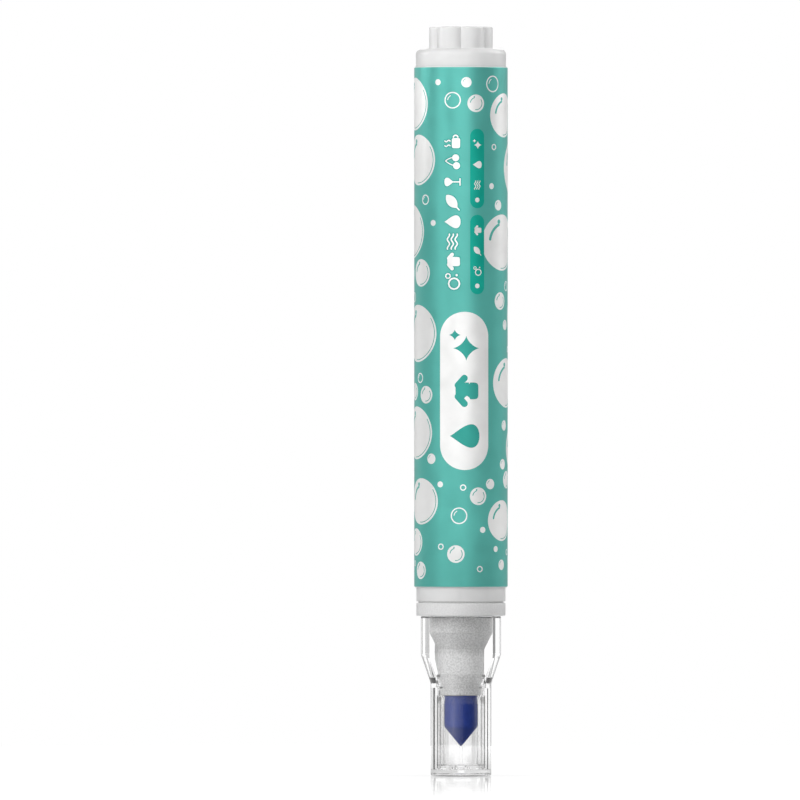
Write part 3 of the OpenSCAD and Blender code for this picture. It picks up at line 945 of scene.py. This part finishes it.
column = {
    "across": -1.6,
    "top": 116.9,
    "bottom": 88.0,
    "signSize": 3.2,
    "outline": 0.34,        # how much wider the dark form under each sign is
    "signs": ["cup", "cherries", "glass", "leaf", "drop", "waves", "shirt", "bubbles"],
    "pillAcross": 3.0,
    "pillWidth": 2.7,
    "pills": [(117.5, ["waves", "drop", "sparkle"]), (101.9, ["bubbles", "leaf", "shirt"])],
    "pillHeight": 14.4,
    "dot": (1.5, 0.85),     # its height above the pill's foot, and its size
    "smallSign": (4.2, 3.7, 1.8),   # the first one's height, the step to the next, and its size
}


def printColumn():
    # A column of white signs, and two dark pills with a dot and small signs each
    step = (column["top"] - column["bottom"]) / len(column["signs"])
    for i, kind in enumerate(column["signs"]):
        up = column["top"] - labelLow - (i + 0.5) * step
        printSign(kind, "mark", column["across"], up, column["signSize"], 2, column["outline"])
        printSign(kind, "white", column["across"], up, column["signSize"], 3)
    across, height = column["pillAcross"], column["pillHeight"]
    for top, kinds in column["pills"]:
        low = printPill("deep", across, top, column["pillWidth"], height, 3) - height / 2
        dotUp, dotSize = column["dot"]
        printed["white"].append(inkShape(circle, across, low + dotUp, dotSize, dotSize, 0, 4))
        first, step, size = column["smallSign"]
        for i, kind in enumerate(kinds):
            printSign(kind, "white", across, low + first + i * step, size, 4)


bubbles = {
    # The widest beside the signs: across, up and diameter
    "first": [(-9.6, 77.5, 9.2), (-9.9, 46.0, 10.4), (-8.6, 15.5, 8.4), (9.7, 85.6, 8.0), (9.0, 62.5, 10.2),
              (10.9, 37.0, 9.0), (8.9, 12.0, 7.4)],
    "sizes": [(9.6, 4), (7.0, 8), (5.0, 13), (3.2, 22), (1.9, 30), (1.1, 36)],      # diameter, count
    "gap": 0.75,
    "margin": 0.9,
    # Places kept for the signs: across, up, half-width and half-height of each
    "kept": [(0.66, 35.55, 4.8, 14.6), (0.3, 68.0, 4.4, 15.8)],
    "line": 0.12,
    "tries": 900,           # for each size
    "stepAround": 0.7548777,
    "stepUp": 0.5698403,
}


def printBubble(across, up, size, solid):
    # A bubble is a white disc with a teal glint and contour, or a white ring with a white glint
    white, ground, mark = printed["white"], printed["ground"], printed["mark"]
    if solid:
        white.append(inkShape(circle, across, up, size, size))
        if size > 1.5:
            ground.append(inkLine(*arcPoints(across, up, size * 0.33, 108, 170), size * 0.05, 2))
        if size > 3:
            ground.append(inkShape(circle, across - size * 0.1, up + size * 0.37,
                                   size * 0.08, size * 0.08, 0, 2))
            mark.append(inkLine(*arcPoints(across, up, size * 0.5 - 0.42, -95, 35), bubbles["line"], 2))
        return
    white.append(inkLine(*arcPoints(across, up, size * 0.44, 0, 360), max(0.22, size * 0.07)))
    if size > 1.5:
        white.append(inkLine(*arcPoints(across, up, size * 0.28, 115, 175), max(0.14, size * 0.045)))


def printBubbles():
    # Bubbles scattered evenly by steps of two irrational shares of the label, the widest first; one
    # that would touch another or a sign is left out
    around = 2 * math.pi * labelR
    placed = []
    for across, up, size in bubbles["first"]:
        placed.append((across, up, size / 2))
        printBubble(across, up, size, True)
    step = 0
    for size, count in bubbles["sizes"]:
        done = 0
        for _ in range(bubbles["tries"]):
            step += 1
            across = ((step * bubbles["stepAround"]) % 1 - 0.5) * around
            low = bubbles["margin"] + size / 2
            up = low + (step * bubbles["stepUp"]) % 1 * (labelHeight - 2 * low)
            reach = size / 2 + bubbles["gap"]
            clear = all(abs(across - a) > w + reach or abs(up - b) > h + reach
                        for a, b, w, h in bubbles["kept"])
            clear = clear and abs(abs(across) - around / 2) > size / 2 + 0.3
            for a, b, r in placed:
                aside = (across - a + around / 2) % around - around / 2
                clear = clear and math.hypot(aside, up - b) > reach + r
            if clear and done < count:
                done += 1
                placed.append((across, up, size / 2))
                printBubble(across, up, size, done % 3 != 0 or size > 9)


printPanel()
printColumn()
printBubbles()
inkPaints = {
    "white": printedFilm("whiteInkOnFilm", film["white"]),
    "deep": printedFilm("deepTealInkOnFilm", film["deep"]),
    "mark": printedFilm("tealInkOnWhite", film["mark"]),
    "ground": groundInk,
}
for ink, skins in printed.items():
    addPiece("label_print_" + ink, skins, "pen", inkPaints[ink])
print("Label: film and print")


# Valve spring

spring = {
    "turns": 6,
    "wire": 0.35,
    "travel": 1.5,          # how far the valve's stem presses it
    "sides": 14,
    "perTurn": 30,
}
springR, springLow, springHigh = reachOf("valve_spring")


def springSkin():
    # Round wire along a helix: its middle lies at (R cos a, R sin a, z), where z rises evenly with a,
    # and the wire's section stands across it, from b = 0 outwards
    half = spring["wire"] / 2
    middleR = springR - half
    a = np.linspace(0, spring["turns"] * 2 * math.pi, spring["turns"] * spring["perTurn"] + 1)[:, None]
    z = np.linspace(springLow + half, springHigh - half, len(a))[:, None]
    b = evenAngles(spring["sides"])
    slope = math.atan2(z[-1, 0] - z[0, 0], a[-1, 0] * middleR)
    out, up = half * np.cos(b), half * np.sin(b)
    along = -up * math.sin(slope)
    x = (middleR + out) * np.cos(a) - along * np.sin(a)
    y = (middleR + out) * np.sin(a) + along * np.cos(a)
    wire = np.stack([x, y, z + up * math.cos(slope)], -1)
    ends = wire[[0, -1]].mean(1, keepdims=True) + 0 * wire[[0, -1]]
    return skinOf(np.concatenate([ends[:1], wire[:, ::-1], ends[1:]]))


springPiece = addPiece("round_wire_spring", [springSkin()], "pen", drawnStainlessWire(),
                       ["valve_spring"])
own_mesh(springPiece)
print("Valve spring")


# Pieces inside, whose solids are right as they are

insidePaints = {
    "seal_rubber": (nitrileRubber(), ["rear_seal_ring", "front_seal_ring", "valve_gasket"]),
    "valve_plastic": (mouldedAcetal(), ["valve_seat", "valve_stem", "valve_cage"]),
    "liquid": (cleaningFluid(), ["cleaning_liquid"]),
}
for slotName, (paint, names) in insidePaints.items():
    for name in names:
        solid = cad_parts[name]
        solid.data.materials.clear()
        solid.data.materials.append(paint)
print("Inside: valve, seals and filling")


# Floor, light and camera

floor = {
    "r": 350,
    "rings": 12,
    "columns": 96,
    "thick": 2.0,
    "tone": "#F4F4F4",
    "lit": 0.2,             # share of the lamps' light that the lens sees on it
    "glow": (0.92, 0.9),    # what the lens adds to the white floor, near the pen and far from it
    "polish": (0.7, 0.05),  # weight of its polish, near and far
    "polishRoughness": 0.05,
    "nearR": 60,
    "farR": 300,
    "footR": 5.0,           # painted contact shade: the floor's glow is darker round the clear foot, out to clearR
    "clearR": 30.0,
    "footShade": 0.75,
    "bounceR": 80.0,        # painted shade: within this of the pen the paper is darker, so that it sends less light up
    "footBounce": 0.5,
}


def addFloor():
    # A disc whose rings widen outwards. It is white paper for the light on it, painted darker near the pen
    # as shade, and the lens, gloss and clear plastic see it glow.
    ring = np.linspace(0, 1, floor["rings"]) ** 1.5 * floor["r"]
    r = np.concatenate([ring, ring[::-1]])[:, None]
    z = np.where(np.arange(len(r)) < floor["rings"], -floor["thick"], 0.0)[:, None]
    points = roundAxis(r, evenAngles(floor["columns"]), z)
    paint, tree = blankPaint("whitePaperSweep")
    made = addMesh("floor", *skinOf(points), paint)
    path = addNode(tree, "LightPath").outputs
    seen = path["Is Camera Ray"]
    for ray in ("Is Glossy Ray", "Is Transmission Ray"):
        seen = addNode(tree, "Math", settings={"operation": "MAXIMUM"},
                       links={0: seen, 1: path[ray]}).outputs[0]
    away = addNode(tree, "VectorMath", settings={"operation": "LENGTH"},
                   links={0: addNode(tree, "TexCoord").outputs["Object"]}).outputs["Value"]

    def byDistance(low, high, start, end):
        sockets = {"From Min": low * mm, "From Max": high * mm, "To Min": start, "To Max": end}
        return addNode(tree, "MapRange", sockets=sockets, links={"Value": away}).outputs["Result"]

    # Painted shade: the paper's colour falls to footBounce near the pen, so that less light bounces up to
    # the nose
    bounce = addNode(tree, "VectorMath", settings={"operation": "SCALE"},
                     sockets={0: linear(floor["tone"])[:3]},
                     links={"Scale": byDistance(floor["clearR"], floor["bounceR"], floor["footBounce"], 1)})
    paper = addNode(tree, "BsdfDiffuse", links={"Color": bounce.outputs[0]})
    # Painted contact shade: the glow falls to footShade round the clear foot
    glow = addNode(tree, "Math", settings={"operation": "MULTIPLY"},
                   links={0: byDistance(floor["nearR"], floor["farR"], *floor["glow"]),
                          1: byDistance(floor["footR"], floor["clearR"], floor["footShade"], 1)}).outputs[0]
    shown = addNode(tree, "BsdfPrincipled", sockets={
        "Base Color": (*[floor["lit"]] * 3, 1), "Roughness": 1.0, "Specular IOR Level": 0.0,
        "Coat Roughness": floor["polishRoughness"], "Coat IOR": 1.5, "Emission Color": (1, 1, 1, 1),
    }, links={"Emission Strength": glow,
              "Coat Weight": byDistance(floor["nearR"], floor["farR"], *floor["polish"])})
    mixed = addNode(tree, "MixShader",
                    links={0: seen, 1: paper.outputs[0], 2: shown.outputs[0]})
    addNode(tree, "OutputMaterial", links={"Surface": mixed.outputs[0]})


surroundings = {
    "fill": 0.1,            # even light on the object from all round
    # Tones at shares of a turn, where 0.5 is straight behind the pen and less is to its left: first
    # what clear plastic shows from behind it, then what gloss mirrors
    "glass": [(0.0, 0.28), (0.05, 0.52), (0.1, 1.0), (0.13, 0.9), (0.17, 0.5), (0.25, 0.7), (0.33, 1.0),
              (0.38, 1.2), (0.46, 1.2), (0.48, 1.05), (0.52, 1.05), (0.54, 1.2), (0.62, 1.2), (0.67, 1.0),
              (0.76, 0.7), (0.79, 0.4), (0.83, 0.0), (0.94, 0.0), (0.97, 0.06), (1.0, 0.28)],
    "gloss": [(0.0, 0.15), (0.05, 0.2), (0.12, 0.2), (0.22, 0.05), (0.29, 0.3), (0.36, 0.67),
              (0.44, 0.5), (0.485, 0.5), (0.49, 1.0), (0.51, 1.0), (0.515, 0.4), (0.6, 0.4),
              (0.68, 0.25), (0.74, 0.1), (0.85, 0.05), (0.95, 0.05), (1.0, 0.15)],
}


def addSurroundings():
    # White for the camera; grey cards at the sides for what gloss and clear plastic see
    world = bpy.data.worlds.new("studio")
    bpy.context.scene.world = world
    world.use_nodes = True
    tree = world.node_tree
    tree.nodes.clear()
    way = addNode(tree, "TexCoord").outputs["Generated"]
    parts = addNode(tree, "SeparateXYZ", links={"Vector": way}).outputs
    angle = addNode(tree, "Math", settings={"operation": "ARCTAN2"},
                    links={0: parts["X"], 1: parts["Y"]}).outputs[0]
    share = addNode(tree, "Math", settings={"operation": "MULTIPLY_ADD"},
                    sockets={1: 0.5 / math.pi, 2: 0.5}, links={0: angle}).outputs[0]
    path = addNode(tree, "LightPath").outputs
    colour = addNode(tree, "RGB").outputs[0]
    colour.default_value = (*[surroundings["fill"]] * 3, 1)
    for kind, ray in (("gloss", "Is Glossy Ray"), ("glass", "Is Transmission Ray")):
        ramp = addNode(tree, "ValToRGB", links={"Fac": share})
        setStops(ramp, [(at, (tone, tone, tone, 1)) for at, tone in surroundings[kind]])
        colour = addNode(tree, "Mix", settings={"data_type": "RGBA"},
                         links={0: path[ray], 6: colour, 7: ramp.outputs["Color"]}).outputs[2]
    colour = addNode(tree, "Mix", settings={"data_type": "RGBA"}, sockets={7: (1, 1, 1, 1)},
                     links={0: path["Is Camera Ray"], 6: colour}).outputs[2]
    sky = addNode(tree, "Background", links={"Color": colour})
    addNode(tree, "OutputWorld", links={"Surface": sky.outputs[0]})


flags = [
    # Grey cards behind the pen that only clear plastic shows, as the lines along its walls: from and
    # to, in degrees right of straight back; lower and upper z; and tone
    (-62, -43, 19.5, 30.0, 0.54),
    (-43, -38, 19.5, 30.0, 0.65),
    (-19, -11, 19.5, 30.0, 0.4),
    (46, 50, 19.5, 30.0, 0.7),
    (50, 62, 19.5, 30.0, 0.2),
    (-50, -28, 16.0, 19.5, 0.45),
    (18, 28, 15.2, 17.5, 0.05),
    (28, 50, 16.0, 19.5, 0.42),
    (-56, -40, 0.05, 15.2, 0.0),
    (-35, -28, 0.05, 15.2, 0.55),
    (-22, -12, 0.05, 15.2, 0.8),
    (10, 17, 0.05, 15.2, 0.7),
    (17, 22, 0.05, 15.2, 0.85),
    (44, 46, 0.05, 15.2, 0.6),
    (46, 54, 0.05, 15.2, 0.0),
]
shades = [
    # Cards in front that hold the front lamp and the side lamp back from the nose and the nib
    (-24, 30, 22.0, 50.0),
    (80, 136, 18.0, 41.0),
]
cardR = {"behind": 60.0, "front": 32.0}


def addCard(name, start, end, low, high, tone=0.05, side="behind"):
    # A flat box between two places on a circle round the pen; one in front only casts its shadow
    a = np.radians([start, end, end, start])
    r = cardR[side] + np.array([0, 0, 1, 1])
    x, y = r * np.sin(a), r * np.cos(a) * (1 if side == "behind" else -1)
    corners = [(x[i], y[i], z) for z in (low, high) for i in range(4)]
    faces = [(0, 1, 5, 4), (1, 2, 6, 5), (2, 3, 7, 6), (3, 0, 4, 7), (3, 2, 1, 0), (4, 5, 6, 7)]
    paint, tree = blankPaint(name)
    glow = addNode(tree, "Emission", sockets={"Color": (tone, tone, tone, 1)})
    addNode(tree, "OutputMaterial", links={"Surface": glow.outputs[0]})
    made = addMesh(name, corners, faces, paint)
    for ray in ("camera", "diffuse", "glossy", "shadow" if side == "behind" else "transmission"):
        setattr(made, "visible_" + ray, False)


lamps = {
    # Azimuth from the camera's side, to the right; elevation; distance, width and height in mm; and
    # the share of full light that it gives a face turned to it. They stand above the pen, so that the
    # cap's straight walls mirror none of them to the camera; gloss doesn't show the low one.
    "key": (-48, 33, 650, 280, 500, 0.46),
    "low": (-65, 10, 650, 300, 300, 0.1),
    "front": (4, 33, 650, 540, 500, 0.8),
    "side": (114, 33, 650, 360, 500, 0.66),
    "back": (180, 33, 650, 300, 500, 0.2),
}
lampMiddle = np.array([0, 0, 0.07])     # the place, in metres, that the lamps point at


def placeLight(name, light, middle, azimuth, elevation, distance):
    # Puts a lamp at a distance in mm from a place in metres, and points it there
    a, e = math.radians(azimuth), math.radians(elevation)
    away = np.array([math.sin(a) * math.cos(e), -math.cos(a) * math.cos(e), math.sin(e)])
    made = addObject(name, light)
    made.location = middle + away * distance * mm
    made.rotation_euler = (math.pi / 2 - e, 0, a)
    made.visible_camera = False
    made.visible_transmission = False
    return made


def addLamp(name, azimuth, elevation, distance, width, height, share):
    # A lamp of P watts at d metres lights a facing surface by P / (pi d^2), and pi is full light
    light = bpy.data.lights.new(name, "AREA")
    light.shape = "RECTANGLE"
    light.size = width * mm
    light.size_y = height * mm
    light.energy = share * math.pi ** 2 * (distance * mm) ** 2
    made = placeLight(name, light, lampMiddle, azimuth, elevation, distance)
    made.visible_glossy = name != "low"


plugLight = {
    "azimuth": -100,
    "distance": 650,
    "rise": 70,             # how far it stands above the middle of its beam
    "beamR": 90,            # radius of its beam at the pen
    "above": 0.2,           # from the label's end to the beam's lower edge
    "blend": 0.01,
    "softness": 30,
    "share": 0.5,
}


def addPlugLight():
    # A spot from the left for the rear plug alone. One of P watts at d metres lights a facing surface
    # by P / (4 pi d^2).
    far, rise = plugLight["distance"], plugLight["rise"]
    light = bpy.data.lights.new("plugSpot", "SPOT")
    light.spot_size = 2 * math.atan(plugLight["beamR"] / far)
    light.spot_blend = plugLight["blend"]
    light.shadow_soft_size = plugLight["softness"] * mm
    light.energy = plugLight["share"] * 4 * math.pi ** 2 * (far * mm) ** 2
    middle = np.array([0, 0, barrelHigh + plugLight["beamR"] + plugLight["above"]]) * mm
    placeLight("plugSpot", light, middle, plugLight["azimuth"], math.degrees(math.atan(rise / far)),
               math.hypot(far, rise))


view = {
    "lens": 1000,
    "sensor": 36,
    "shownWidth": 145.44,   # how much of the pen's plane the picture is wide
    "middleX": -11.08,
    "middleZ": 68.3,
}


def addCamera():
    # Straight from the front, 4 m away, so that it sees hardly any perspective
    data = bpy.data.cameras.new("camera")
    data.lens = view["lens"]
    data.sensor_width = view["sensor"]
    data.clip_end = 100
    made = addObject("camera", data)
    distance = view["shownWidth"] * view["lens"] / view["sensor"]
    made.location = (view["middleX"] * mm, -distance * mm, view["middleZ"] * mm)
    made.rotation_euler = (math.pi / 2, 0, 0)
    bpy.context.scene.camera = made


addFloor()
addSurroundings()
for number, flagFacts in enumerate(flags):
    addCard("flag_%d" % number, *flagFacts)
for number, shadeFacts in enumerate(shades):
    addCard("shade_%d" % number, *shadeFacts, side="front")
for lampName, lampFacts in lamps.items():
    addLamp(lampName, *lampFacts)
addPlugLight()
addCamera()
bpy.context.scene.view_settings.view_transform = "Standard"
print("Studio: floor, light and camera")
